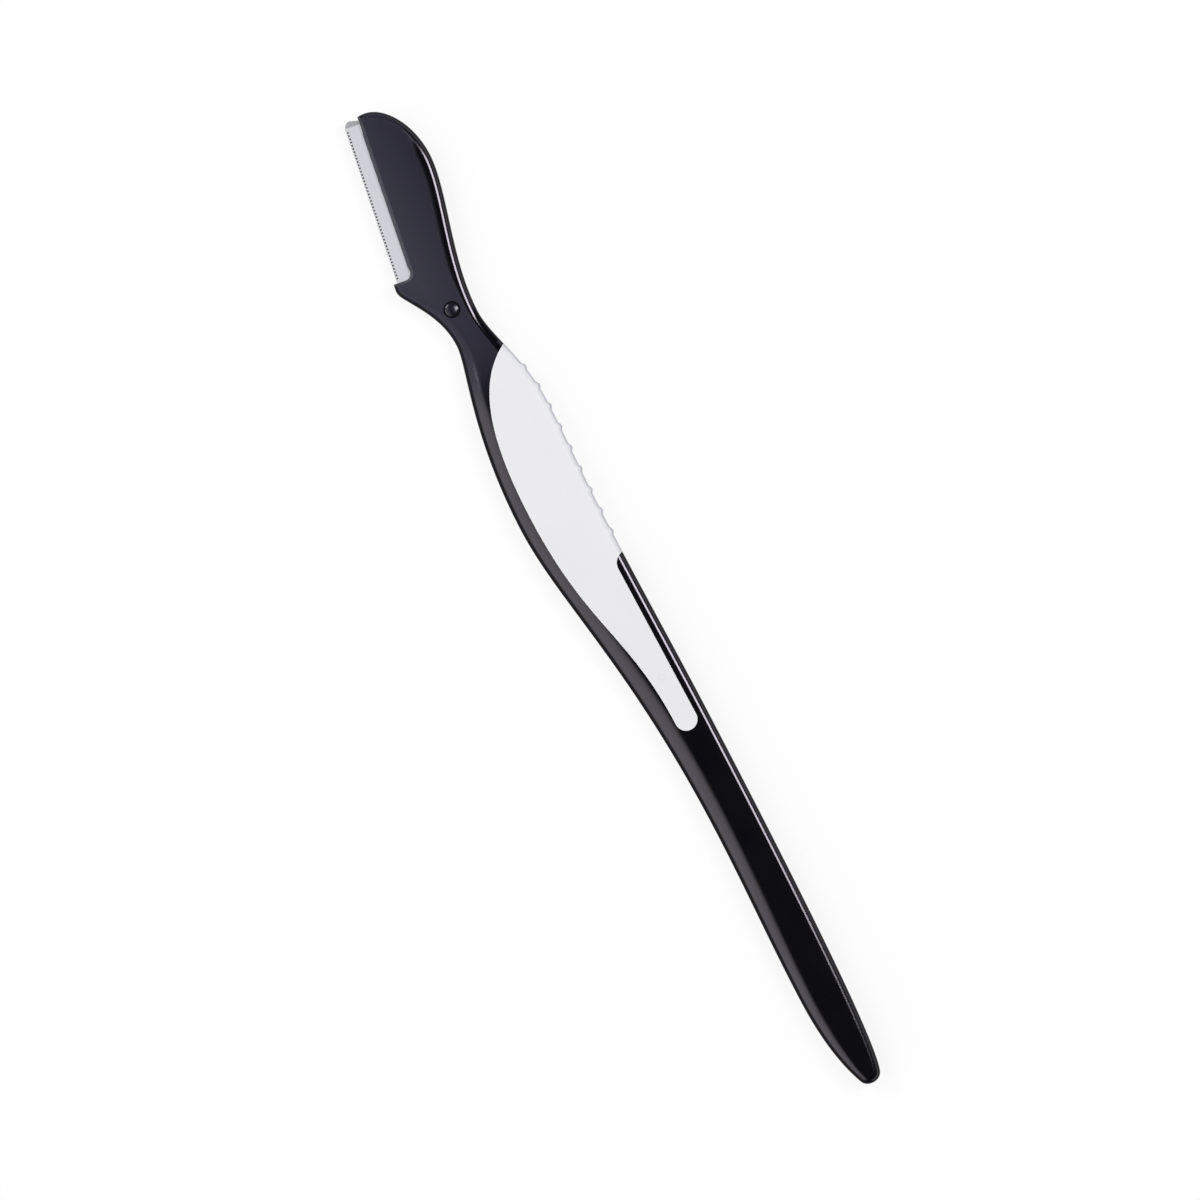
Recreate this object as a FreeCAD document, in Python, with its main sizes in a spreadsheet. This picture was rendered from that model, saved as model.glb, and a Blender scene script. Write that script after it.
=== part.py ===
"""Eyebrow razor: a slim moulded handle with a soft grip, and a guarded blade in a flat head.

Millimetres. X runs from the tail to the head, Y towards the cutting edge and Z out of the front face.
The razor lies on its back: Z = 0 is the rear face and the origin is the middle of the underside.
"""
import FreeCAD, Part
import math
import os

import Sketcher

V = FreeCAD.Vector

os.makedirs("parts", exist_ok=True)
doc = FreeCAD.newDocument("eyebrow_razor")


# Driving sizes

SIZES = [
    ("tail_length", 16.0, "tail tip to the fullest part of the tail"),
    ("waist_run", 27.0, "fullest part of the tail to the waist"),
    ("swell_run", 52.5, "waist to the widest part of the grip"),
    ("taper_run", 28.0, "widest part of the grip to the neck"),
    ("heel_run", 9.7, "neck to the foot of the heel's corner"),
    ("heel_width", 2.4, "foot of the heel's corner to the blade window"),
    ("window_length", 24.3, "blade window to the end of the head"),
    ("tip_run", 1.0, "length of the rounded tail tip"),
    ("tip_belly", 0.05, "blade side of the tip, from the axis"),
    ("tip_spine", 3.2, "spine side of the tip, from the axis"),
    ("tail_belly", 2.38, "blade side of the tail"),
    ("waist_belly", 1.9, "blade side of the waist"),
    ("swell_belly", 6.8, "blade side at the widest part of the grip"),
    ("neck_belly", 2.65, "blade side of the neck"),
    ("heel_foot", 6.4, "blade side at the foot of the heel's corner"),
    ("heel_angle", 31.0, "slope of the heel's flank, degrees"),
    ("sag_offset", 15.0, "waist to the deepest part of the spine"),
    ("sag_spine", 5.21, "spine side at its deepest part along the handle"),
    ("saddle_offset", 5.5, "saddle of the spine to the widest part of the grip"),
    ("saddle_spine", 4.93, "spine side at the saddle under the grip"),
    ("hump_offset", 15.0, "widest part of the grip to the spine's hump"),
    ("hump_spine", 5.38, "spine side at the hump"),
    ("nape_offset", 3.0, "neck to the nape, its narrowest point on the spine"),
    ("nape_spine", 2.45, "spine side at the nape"),
    ("crown_offset", 14.6, "blade window to the crown of the head"),
    ("crown_spine", 6.85, "spine side at the crown"),
    ("end_drop", 0.6, "top of the head's rounded end, below the axis"),
    ("handle_thickness", 5.0, "front face to rear face of the handle"),
    ("head_thickness", 3.0, "front face to rear face of the head"),
    ("ramp_offset", 16.5, "widest part of the grip to the start of the ramp"),
    ("ramp_overrun", 1.5, "neck to the end of the ramp"),
    ("edge_round", 1.0, "radius of the long edges"),
    ("bevel_width", 2.1, "bevel along the blade side, across the face"),
    ("bevel_depth", 1.5, "bevel along the blade side, down the flank"),
    ("blade_angle", 8.8, "cutting edge against the handle's axis, degrees"),
    ("edge_height", 6.05, "cutting edge above the axis at the blade window"),
    ("exposure", 2.2, "width of blade outside the head"),
    ("heel_proud", 0.65, "heel beyond the cutting edge"),
    ("window_round", 1.0, "inner corner of the blade window"),
    ("blade_start", 0.05, "gap between the heel and the blade"),
    ("blade_length", 24.65, "length of the blade along its edge"),
    ("blade_thickness", 0.25, "thickness of the blade"),
    ("blade_nose", 0.9, "rounded outer corner of the blade"),
    ("hone_width", 0.6, "ground bevel behind the cutting edge"),
    ("edge_land", 0.03, "thickness left at the cutting edge"),
    ("tang_start", 1.4, "blade window to the blade's tang"),
    ("tang_length", 21.0, "length of the tang inside the head"),
    ("tang_depth", 3.6, "depth of the tang inside the head"),
    ("tang_round", 1.2, "inner corners of the tang's recess"),
    ("fit_gap", 0.05, "clearance around the clamp and the blade"),
    ("stake_inset", 4.5, "end of the tang to each stake"),
    ("stake_depth", 1.9, "head's lip to the stakes"),
    ("stake_radius", 0.8, "radius of the stakes that pass through the blade"),
    ("stake_height", 0.7, "stakes above the blade, inside the front shell"),
    ("foil", 0.08, "thickness of the guard's foil"),
    ("guard_length", 23.75, "length of the guard along the edge"),
    ("guard_slack", 0.03, "guard's fold to the cutting edge"),
    ("slot_pitch", 0.5, "pitch of the guard's slots"),
    ("slot_width", 0.25, "width of a guard slot"),
    ("slot_length", 0.42, "length of a guard slot, from the fold"),
    ("slot_count", 46, "number of guard slots"),
    ("tongue_lead", 37.5, "end of the grip's tongue to the widest part of the grip"),
    ("tongue_width", 3.35, "width of the grip's tongue"),
    ("rail_width", 1.7, "black rail between the tongue and the spine"),
    ("belly_band", 2.05, "black band between the grip and the blade side"),
    ("wrap_lead", 9.8, "start of the grip's wrap to the widest part of the grip"),
    ("wrap_round", 2.0, "corner where the wrap leaves the tongue"),
    ("wrap_tail", 26.0, "widest part of the grip to the end of the wrap"),
    ("grip_cover", 1.2, "thickness of the soft grip over the core"),
    ("anchor_radius", 1.0, "holes in the core that key the grip"),
    ("anchor_pitch", 11.0, "distance between the keying holes"),
    ("rib_pitch", 3.4, "pitch of the grip's ribs"),
    ("rib_width", 1.2, "width of a rib"),
    ("rib_height", 0.3, "height of a rib"),
    ("rib_lead", 6.4, "first rib to the widest part of the grip"),
    ("rib_count", 9, "number of ribs"),
    ("stud_offset", 5.0, "neck to the stud"),
    ("stud_height", 0.8, "stud above the axis"),
    ("stud_radius", 1.1, "radius of the stud's dome"),
    ("stud_dome", 0.25, "height of the stud's dome"),
    ("stud_shank", 0.6, "radius of the stud's shank"),
    ("stud_seat", 1.25, "radius of the shallow seat around the dome"),
    ("seat_depth", 0.2, "depth of that seat"),
]

sheet = doc.addObject("Spreadsheet::Sheet", "Sizes")
for row, (alias, number, note) in enumerate(SIZES, start=1):
    sheet.set(f"A{row}", note)
    sheet.set(f"B{row}", str(number))
    sheet.setAlias(f"B{row}", alias)
doc.recompute()


class Size:
    """A length that is both a number and the sheet expression that keeps it in step."""

    def __init__(self, value, text):
        self.value = value
        self.text = text

    def __add__(self, other):
        other = sized(other)
        return Size(self.value + other.value, f"({self.text} + {other.text})")

    def __sub__(self, other):
        other = sized(other)
        return Size(self.value - other.value, f"({self.text} - {other.text})")

    def __rsub__(self, other):
        return sized(other) - self

    def __mul__(self, other):
        other = sized(other)
        return Size(self.value * other.value, f"({self.text} * {other.text})")

    def __truediv__(self, other):
        other = sized(other)
        return Size(self.value / other.value, f"({self.text} / {other.text})")

    def __neg__(self):
        return Size(-self.value, f"(0 - {self.text})")

    __radd__ = __add__
    __rmul__ = __mul__


def sized(number):
    """Take a plain number as a Size."""
    return number if isinstance(number, Size) else Size(number, repr(float(number)))


def size(alias):
    """The sheet's own value for an alias."""
    return Size(float(sheet.get(alias)), f"Sizes.{alias}")


def turn(function, angle):
    """Sine, cosine or tangent of an angle held in degrees."""
    return Size(getattr(math, function)(math.radians(angle.value)), f"{function}({angle.text})")


# Stations along the handle, from the tail tip, and heights across it

waist_x = size("tail_length") + size("waist_run")
swell_x = waist_x + size("swell_run")
neck_x = swell_x + size("taper_run")
heel_x = neck_x + size("heel_run")
window_x = heel_x + size("heel_width")
overall = window_x + size("window_length")
saddle_x = swell_x - size("saddle_offset")
hump_x = swell_x + size("hump_offset")
nape_x = neck_x + size("nape_offset")
crown_x = window_x + size("crown_offset")

thickness = size("handle_thickness")
middle = thickness / 2
head_front = middle + size("head_thickness") / 2
head_rear = middle - size("head_thickness") / 2
blade_top = middle + size("blade_thickness") / 2
blade_under = middle - size("blade_thickness") / 2

blade_angle = size("blade_angle")
lip = -size("exposure")
gap = size("fit_gap")
ROUND = 0.5523  # handle of a cubic quarter circle, as a share of its radius


# Sketches and features

def plane(body, name):
    """One of the body's own origin planes."""
    return next(item for item in body.Origin.OriginFeatures if item.Name.startswith(name))


def plan_sketch(body, label, height):
    """Sketch parallel to the front face, measured from the tail tip and the handle's axis."""
    sketch = body.newObject("Sketcher::SketchObject", label)
    sketch.AttachmentSupport = [(plane(body, "XY_Plane"), "")]
    sketch.MapMode = "FlatFace"
    sketch.setExpression("AttachmentOffset.Base.x", (-overall / 2).text)
    sketch.setExpression("AttachmentOffset.Base.z", sized(height).text)
    return sketch


def blade_sketch(body, label, height):
    """Sketch measured along and across the cutting edge, from the foot of the heel."""
    sketch = plan_sketch(body, label, height)
    sketch.AttachmentOffset = FreeCAD.Placement(V(), FreeCAD.Rotation(V(0, 0, -1), blade_angle.value))
    sketch.setExpression("AttachmentOffset.Base.x", (window_x - overall / 2).text)
    sketch.setExpression("AttachmentOffset.Base.y", size("edge_height").text)
    sketch.setExpression("AttachmentOffset.Rotation.Angle", f"{blade_angle.text} * 1 deg")
    return sketch


def side_sketch(body, label, along=0.0, across=0.0):
    """Sketch in a plane along the handle, X against height."""
    sketch = body.newObject("Sketcher::SketchObject", label)
    sketch.AttachmentSupport = [(plane(body, "XZ_Plane"), "")]
    sketch.MapMode = "FlatFace"
    sketch.setExpression("AttachmentOffset.Base.x", (sized(along) - overall / 2).text)
    sketch.setExpression("AttachmentOffset.Base.z", (-sized(across)).text)
    return sketch


def cross_sketch(body, label, along):
    """Sketch in a plane across the handle, Y against height."""
    sketch = body.newObject("Sketcher::SketchObject", label)
    sketch.AttachmentSupport = [(plane(body, "YZ_Plane"), "")]
    sketch.MapMode = "FlatFace"
    sketch.setExpression("AttachmentOffset.Base.z", (along - overall / 2).text)
    return sketch


def locate(sketch, geometry, position, point):
    """Dimension one point from the sketch's origin."""
    for kind, length in zip(("DistanceX", "DistanceY"), point):
        length = sized(length)
        index = sketch.addConstraint(Sketcher.Constraint(kind, -1, 1, geometry, position, length.value))
        sketch.setExpression(f"Constraints[{index}]", length.text)


def draw(sketch, segments):
    """Close an outline of straight lines (two points) and cubic curves (four poles)."""
    ends = []
    for points in segments:
        poles = [V(sized(x).value, sized(y).value, 0) for x, y in points]
        if len(points) == 2:
            ends.append(sketch.addGeometry(Part.LineSegment(*poles)))
        else:
            curve = Part.BSplineCurve()
            curve.buildFromPolesMultsKnots(poles, [4, 4], [0, 1], False, 3)
            ends.append(sketch.addGeometry(curve))
            first = sketch.GeometryCount
            sketch.exposeInternalGeometry(ends[-1])
            locate(sketch, first + 1, 3, points[1])
            locate(sketch, first + 2, 3, points[2])
    for here, following, points in zip(ends, ends[1:] + ends[:1], segments):
        sketch.addConstraint(Sketcher.Constraint("Coincident", here, 2, following, 1))
        locate(sketch, here, 2, points[-1])
    return sketch


def circle(sketch, centre, radius):
    """Add a circle dimensioned by its centre and radius."""
    x, y = (sized(length).value for length in centre)
    index = sketch.addGeometry(Part.Circle(V(x, y, 0), V(0, 0, 1), radius.value))
    locate(sketch, index, 3, centre)
    constraint = sketch.addConstraint(Sketcher.Constraint("Radius", index, radius.value))
    sketch.setExpression(f"Constraints[{constraint}]", radius.text)
    return sketch


def path(*points):
    """Straight lines through the points, in order."""
    return [list(pair) for pair in zip(points, points[1:])]


def crest_curve(start, end, lean_out, lean_in):
    """Cubic between two crests, level at both; the leans are shares of the run between them."""
    run = end[0] - start[0]
    return [start, (start[0] + run * lean_out, start[1]), (end[0] - run * lean_in, end[1]), end]


def corner_curve(start, corner, end):
    """Quarter-round from start to end around a corner."""
    def towards(point):
        return tuple(sized(p) + (sized(c) - p) * ROUND for p, c in zip(point, corner))
    return [start, towards(start), towards(end), end]


def halfway(curve):
    """Middle point of a cubic."""
    start, first, second, end = ([sized(length) for length in pole] for pole in curve)
    return tuple((start[axis] + (first[axis] + second[axis]) * 3 + end[axis]) / 8 for axis in (0, 1))


def extrude(kind, sketch, length, up=True):
    """Pad or pocket a sketch through a length, upwards or downwards from its plane."""
    feature = sketch.getParent().newObject(f"PartDesign::{kind}", f"{sketch.Label}_{kind.lower()}")
    feature.Profile = sketch
    feature.setExpression("Length", sized(length).text)
    feature.Reversed = up == (kind == "Pocket")
    sketch.Visibility = False
    doc.recompute()
    return feature


def new_body(label):
    return doc.addObject("PartDesign::Body", label)


# Outline of the handle and head, seen from the front

tip_top = (size("tip_run"), size("tip_belly"))
tip_low = (size("tip_run"), -size("tip_spine"))
tail_crest = (size("tail_length"), size("tail_belly"))
waist = (waist_x, size("waist_belly"))
swell = (swell_x, size("swell_belly"))
neck = (neck_x, size("neck_belly"))
heel_foot = (heel_x, size("heel_foot"))
sag = (waist_x + size("sag_offset"), -size("sag_spine"))
saddle = (saddle_x, -size("saddle_spine"))
hump = (hump_x, -size("hump_spine"))
nape = (nape_x, -size("nape_spine"))
crown = (crown_x, -size("crown_spine"))
head_end = (overall, -size("end_drop"))

TIP_SLOPE = 0.4
TIP_PULL = 4 / 3  # brings the tip's curve back to the end of the handle
tip_pull = size("tip_run") * TIP_PULL
tail_pull = size("tail_length") / 4
flank = (turn("cos", size("heel_angle")), turn("sin", size("heel_angle")))
edge_way = (turn("cos", blade_angle), -turn("sin", blade_angle))


def beyond(point, way, distance):
    """Point at a distance along a direction."""
    return tuple(sized(p) + w * distance for p, w in zip(point, way))


heel_corner = beyond((window_x, size("edge_height")), (-edge_way[1], edge_way[0]), size("heel_proud"))
heel_top = beyond(heel_corner, edge_way, -0.9)
heel_rise = size("heel_run") * 0.33
line_end = (overall, heel_corner[1] - (overall - heel_corner[0]) * turn("tan", blade_angle))

tail_curve = [tip_top, (tip_top[0] + tail_pull, tip_top[1] + tail_pull * TIP_SLOPE),
              (tail_crest[0] - size("tail_length") * 0.39, tail_crest[1]), tail_crest]
waist_curve = crest_curve(tail_crest, waist, 0.37, 0.37)
swell_curve = crest_curve(waist, swell, 0.53, 0.23)
taper_curve = crest_curve(swell, neck, 0.56, 0.12)
saddle_curve = crest_curve(hump, saddle, 0.36, 0.39)
nape_curve = crest_curve(nape, hump, 0.24, 0.42)

outline = [
    [tip_low, (tip_low[0] - tip_pull, tip_low[1] + tip_pull * TIP_SLOPE),
     (tip_top[0] - tip_pull, tip_top[1] - tip_pull * TIP_SLOPE), tip_top],
    tail_curve,
    waist_curve,
    swell_curve,
    taper_curve,
    [neck, (neck[0] + size("heel_run") * 0.43, neck[1]),
     beyond(heel_foot, flank, -heel_rise), heel_foot],
    [heel_foot, beyond(heel_foot, flank, 0.6), beyond(heel_top, edge_way, -0.55), heel_top],
    [heel_top, line_end],
    [line_end, head_end],
    [head_end, (overall, head_end[1] - 3.3), (crown[0] + 5.2, crown[1]), crown],
    crest_curve(crown, nape, 0.25, 0.37),
    nape_curve,
    saddle_curve,
    crest_curve(saddle, sag, 0.37, 0.37),
    [sag, (sag[0] * 0.57, sag[1]),
     (tip_low[0] + tail_pull, tip_low[1] - tail_pull * TIP_SLOPE), tip_low],
]


# Handle: one flat moulding, thinned at the head, with rounded edges

handle = new_body("handle_form")
blank = extrude("Pad", draw(plan_sketch(handle, "outline", 0), outline), thickness)

ramp_start = swell_x + size("ramp_offset")
ramp_end = neck_x + size("ramp_overrun")
clear = overall + 10
for label, face, level, outside in (("front_ramp", thickness, head_front, thickness + 2),
                                    ("rear_ramp", sized(0), head_rear, sized(-2))):
    slope = crest_curve((ramp_start, face), (ramp_end, level), 0.5, 0.5)
    profile = [slope]
    profile += path(slope[-1], (clear, level), (clear, outside), (ramp_start, outside), slope[0])
    ramp = extrude("Pocket", draw(side_sketch(handle, label), profile), size("swell_belly") * 4)
    ramp.Midplane = True
    doc.recompute()

long_edges = [f"Edge{index}" for index, edge in enumerate(ramp.Shape.Edges, start=1)
              if edge.BoundBox.XLength > 0.01]
rounding = handle.newObject("PartDesign::Fillet", "long_edges")
rounding.Base = (ramp, long_edges)
rounding.setExpression("Radius", size("edge_round").text)
doc.recompute()

# Broad rounded bevel along the blade side, front and rear, fading out at the tail and the neck

bevel_stations = [
    (halfway(tail_curve), 0.3, thickness),
    (tail_crest, 0.75, thickness),
    (waist, 1.0, thickness),
    (halfway(swell_curve), 1.0, thickness),
    (swell, 1.0, thickness),
    (halfway(taper_curve), 0.9, thickness),
    (neck, 0.3, size("head_thickness")),
]
# Poles of the bevel's section: inward from the flank and down from the face, as shares of its size
bevel_poles = [(1.3, -0.06), (0.8, 0.04), (0.2, 0.62), (-0.1, 1.08)]
for label, side in (("front_bevel", 1), ("rear_bevel", -1)):
    sections = []
    for (along, across), share, full in bevel_stations:
        wide = size("bevel_width") * share
        deep = size("bevel_depth") * share * side
        face = middle + full / 2 * side
        curve = [(across - wide * inward, face - deep * down) for inward, down in bevel_poles]
        outer = (curve[-1][0], curve[0][1])
        section = [curve] + path(curve[-1], outer, curve[0])
        sections.append(draw(cross_sketch(handle, label, along), section))
    bevel = handle.newObject("PartDesign::SubtractiveLoft", f"{label}_cut")
    bevel.Profile = sections[0]
    bevel.Sections = sections[1:]
    doc.recompute()


# Head: window for the blade, recess for its tang, holes for the clamp's stakes, seats for the stud

far = size("window_length") + 5
corner = size("window_round")
window = [corner_curve((0, lip + corner), (0, lip), (corner, lip))]
window += path((corner, lip), (far, lip), (far, 5), (0, 5), (0, lip + corner))
extrude("Pocket", draw(blade_sketch(handle, "blade_window", thickness), window), thickness, up=False)

tang_start = size("tang_start")
tang_end = tang_start + size("tang_length")
stakes = [(station, lip - size("stake_depth"))
          for station in (tang_start + size("stake_inset"), tang_end - size("stake_inset"))]


def tang_outline(inset, mouth):
    """Outline of the blade's tang: a strip with two rounded corners, open at the head's lip."""
    left = tang_start + inset
    right = tang_end - inset
    floor = lip - size("tang_depth") + inset
    radius = size("tang_round")
    bend = floor + radius
    return [
        *path((right, mouth), (right, bend)),
        corner_curve((right, bend), (right, floor), (right - radius, floor)),
        *path((right - radius, floor), (left + radius, floor)),
        corner_curve((left + radius, floor), (left, floor), (left, bend)),
        *path((left, bend), (left, mouth)),
    ]


recess = tang_outline(sized(0), lip + gap)
recess += path(recess[-1][-1], recess[0][0])
extrude("Pocket", draw(blade_sketch(handle, "tang_recess", blade_top), recess), thickness, up=False)
for number, centre in enumerate(stakes, start=1):
    hole = circle(blade_sketch(handle, f"stake_hole_{number}", blade_top), centre, size("stake_radius"))
    extrude("Pocket", hole, size("stake_height"))

stud_at = (neck_x + size("stud_offset"), size("stud_height"))
seat_front = head_front - size("seat_depth")
seat_rear = head_rear + size("seat_depth")
front_seat = circle(plan_sketch(handle, "front_seat", seat_front), stud_at, size("stud_seat"))
extrude("Pocket", front_seat, thickness)
rear_seat = circle(plan_sketch(handle, "rear_seat", seat_rear), stud_at, size("stud_seat"))
extrude("Pocket", rear_seat, thickness, up=False)
stud_hole = circle(plan_sketch(handle, "stud_hole", 0), stud_at, size("stud_shank"))
extrude("Pocket", stud_hole, thickness)


# Space that the soft grip fills: a layer on both faces, joined around the spine and through the core

tongue_radius = size("tongue_width") / 2
tongue_x = swell_x - size("tongue_lead") + tongue_radius
tongue_low = (tongue_x, size("rail_width") - size("sag_spine"))
tongue_top = (tongue_x, tongue_low[1] + size("tongue_width"))
tongue_end = (tongue_x - tongue_radius, tongue_low[1] + tongue_radius)
wrap_x = swell_x - size("wrap_lead")
wrap_top = (wrap_x - size("wrap_round"), size("rail_width") - size("saddle_spine"))
wrap_low = (wrap_x, wrap_top[1] - size("wrap_round"))
grip_crest = (swell_x + 1, size("swell_belly") - size("belly_band"))
grip_end = (swell_x + size("wrap_tail"), -size("hump_spine"))
grip_drop = grip_crest[1] - grip_end[1]
below = -(size("crown_spine") + 4)

grip_outline = [
    crest_curve(tongue_top, grip_crest, 0.4, 0.49),
    [grip_crest, (grip_crest[0] + size("wrap_tail") * 0.615, grip_crest[1]),
     (grip_end[0] - size("wrap_tail") * 0.1, grip_end[1] + grip_drop * 0.64), grip_end],
    *path(grip_end, (grip_end[0], below), (wrap_x, below), wrap_low),
    corner_curve(wrap_low, (wrap_low[0], wrap_top[1]), wrap_top),
    *path(wrap_top, tongue_low),
    corner_curve(tongue_low, (tongue_end[0], tongue_low[1]), tongue_end),
    corner_curve(tongue_end, (tongue_end[0], tongue_top[1]), tongue_top),
]

cover = size("grip_cover")
core_height = thickness - cover * 2


def raised(curve, rise):
    """The same curve, moved across the handle."""
    return [(x, y + rise) for x, y in curve]


grip_space = new_body("grip_space")
extrude("Pad", draw(plan_sketch(grip_space, "grip_outline", -1), grip_outline), thickness + 2)
core_edge = [raised(nape_curve, cover), raised(saddle_curve, cover)]
core_left = tongue_end[0] - 2
core_top = size("swell_belly") + 2
core = core_edge + path(core_edge[1][-1], (core_left, core_edge[1][-1][1]), (core_left, core_top),
                        (nape_x, core_top), core_edge[0][0])
extrude("Pocket", draw(plan_sketch(grip_space, "core", cover), core), core_height)
for number, step in enumerate((-1, 0, 1), start=1):
    anchor_at = (swell_x + size("anchor_pitch") * step, 0.6)
    anchor = circle(plan_sketch(grip_space, f"anchor_{number}", cover), anchor_at, size("anchor_radius"))
    extrude("Pad", anchor, core_height)

handle_body = doc.addObject("Part::Cut", "handle_body")
handle_body.Base = handle
handle_body.Tool = grip_space


# Soft grip: what the handle leaves of that space, and ribs that follow the spine

grip_skin = doc.addObject("Part::Common", "grip_skin")
grip_skin.Base = handle
grip_skin.Tool = grip_space

rib_left = saddle_x - size("rib_pitch") * 2
rib_edge = [raised(nape_curve, -size("rib_height")), raised(saddle_curve, -size("rib_height"))]
rib_root = [raised(saddle_curve, cover / 2)[::-1], raised(nape_curve, cover / 2)[::-1]]
rib_band = new_body("rib_band")
band = [
    *rib_edge,
    *path(rib_edge[1][-1], (rib_left, rib_edge[1][-1][1]),
          (rib_left, rib_root[0][0][1]), rib_root[0][0]),
    *rib_root,
    *path(rib_root[1][-1], rib_edge[0][0]),
]
extrude("Pad", draw(plan_sketch(rib_band, "rib_band_outline", size("edge_round")), band),
        thickness - size("edge_round") * 2)

slabs = []
for number in range(int(size("rib_count").value)):
    slab = doc.addObject("Part::Box", f"rib_slab_{number + 1}")
    middle_x = swell_x - size("rib_lead") + size("rib_pitch") * number - overall / 2
    slab.setExpression("Length", size("rib_width").text)
    slab.setExpression("Width", (-below).text)
    slab.setExpression("Height", thickness.text)
    slab.setExpression("Placement.Base.x", (middle_x - size("rib_width") / 2).text)
    slab.setExpression("Placement.Base.y", below.text)
    slabs.append(slab)
rib_slabs = doc.addObject("Part::MultiFuse", "rib_slabs")
rib_slabs.Shapes = slabs
ribs = doc.addObject("Part::Common", "ribs")
ribs.Base = rib_band
ribs.Tool = rib_slabs
grip = doc.addObject("Part::MultiFuse", "grip")
grip.Shapes = [grip_skin, ribs]
doc.recompute()


# Blade: a stamped strip with a tang, two holes and an edge ground from both faces

blade = new_body("blade")
blade_start = size("blade_start")
blade_end = blade_start + size("blade_length")
nose = size("blade_nose")
inner = lip + gap
tang = tang_outline(gap, inner)
blade_outline = [
    corner_curve((blade_start + corner, inner), (blade_start, inner), (blade_start, inner + corner)),
    *path((blade_start, inner + corner), (blade_start, 0), (blade_end - nose, 0)),
    corner_curve((blade_end - nose, 0), (blade_end, 0), (blade_end, -nose)),
    *path((blade_end, -nose), (blade_end - nose / 3, inner), tang[0][0]),
    *tang,
    *path(tang[-1][-1], (blade_start + corner, inner)),
]
strip = draw(blade_sketch(blade, "blade_outline", blade_under), blade_outline)
for centre in stakes:
    circle(strip, centre, size("stake_radius"))
stamped = extrude("Pad", strip, size("blade_thickness"))


def on_edge_line(edge, across):
    """True for an edge that lies along the blade at a distance across from the cutting edge."""
    foot = V((window_x - overall / 2).value, size("edge_height").value, 0)
    way = V(edge_way[0].value, edge_way[1].value, 0)
    side = V(-way.y, way.x, 0)
    return all(abs((vertex.Point - foot).dot(side) - across) < 1e-4 for vertex in edge.Vertexes)


ground = blade.newObject("PartDesign::Chamfer", "ground_edge")
ground.Base = (stamped, [f"Edge{index}" for index, edge in enumerate(stamped.Shape.Edges, start=1)
                         if on_edge_line(edge, 0) and edge.Length > nose.value])
ground.ChamferType = "Two distances"
ground.setExpression("Size", ((size("blade_thickness") - size("edge_land")) / 2).text)
ground.setExpression("Size2", size("hone_width").text)
doc.recompute()


# Guard: foil folded over the cutting edge, slotted along the fold

guard = new_body("edge_guard")
foil = size("foil")
fold = size("guard_slack") + foil
guard_end = blade_start + size("guard_length")
guard_outline = [
    corner_curve((blade_start + corner, inner), (blade_start, inner), (blade_start, inner + corner)),
    *path((blade_start, inner + corner), (blade_start, fold), (guard_end, fold), (guard_end, inner),
          (blade_start + corner, inner)),
]
extrude("Pad", draw(blade_sketch(guard, "guard_outline", blade_under - foil), guard_outline),
        size("blade_thickness") + foil * 2)


def rectangle(left, right, low, high):
    """Four straight sides."""
    return path((left, high), (left, low), (right, low), (right, high), (left, high))


throat = rectangle(sized(-1), guard_end + 1, lip - 1, size("guard_slack"))
throat_sketch = draw(blade_sketch(guard, "guard_throat", blade_under), throat)
extrude("Pocket", throat_sketch, size("blade_thickness"))
slot_left = blade_start + size("slot_pitch")
slot = rectangle(slot_left, slot_left + size("slot_width"), fold - size("slot_length"), fold + 1)
slot_sketch = draw(blade_sketch(guard, "guard_slot", blade_under - foil), slot)
slot_cut = extrude("Pocket", slot_sketch, size("blade_thickness") + foil * 2)
slots = guard.newObject("PartDesign::LinearPattern", "guard_slots")
slots.Originals = [slot_cut]
slots.Direction = (slot_sketch, ["H_Axis"])
slots.setExpression("Length", (size("slot_pitch") * (size("slot_count") - 1)).text)
slots.setExpression("Occurrences", size("slot_count").text)
guard.Tip = slots
doc.recompute()


# Clamp: plate that closes the recess behind the blade, with stakes through the blade's holes

clamp = new_body("blade_clamp")
plate = tang_outline(gap, inner)
plate += path(plate[-1][-1], plate[0][0])
extrude("Pad", draw(blade_sketch(clamp, "clamp_plate", head_rear), plate), blade_under - head_rear)
for number, centre in enumerate(stakes, start=1):
    stake = circle(blade_sketch(clamp, f"stake_{number}", blade_under), centre, size("stake_radius"))
    extrude("Pad", stake, size("blade_thickness") + size("stake_height"))


# Stud: domed rivet through the neck, proud of both faces

stud = new_body("neck_stud")
dome = size("stud_radius")
shank = size("stud_shank")
front_top = seat_front + size("stud_dome")
rear_top = seat_rear - size("stud_dome")
stud_profile = [
    corner_curve((0, front_top), (dome, front_top), (dome, seat_front)),
    *path((dome, seat_front), (shank, seat_front), (shank, seat_rear), (dome, seat_rear)),
    corner_curve((dome, seat_rear), (dome, rear_top), (0, rear_top)),
    *path((0, rear_top), (0, front_top)),
]
turned = draw(side_sketch(stud, "stud_profile", *stud_at), stud_profile)
revolved = stud.newObject("PartDesign::Revolution", "stud_turned")
revolved.Profile = turned
revolved.ReferenceAxis = (turned, ["V_Axis"])
revolved.Angle = 360
doc.recompute()


# Checks and hand-over

faults = [item.Label for item in doc.Objects if {"Invalid", "Error"} & set(item.State)]
assert not faults, faults
for node in (handle_body, grip, blade, guard, clamp, stud):
    shape = node.Shape
    assert not shape.isNull() and shape.isValid(), node.Label
    assert len(shape.Solids) == 1, (node.Label, len(shape.Solids))
    shape.exportStep(f"parts/{node.Label}.step")
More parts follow.
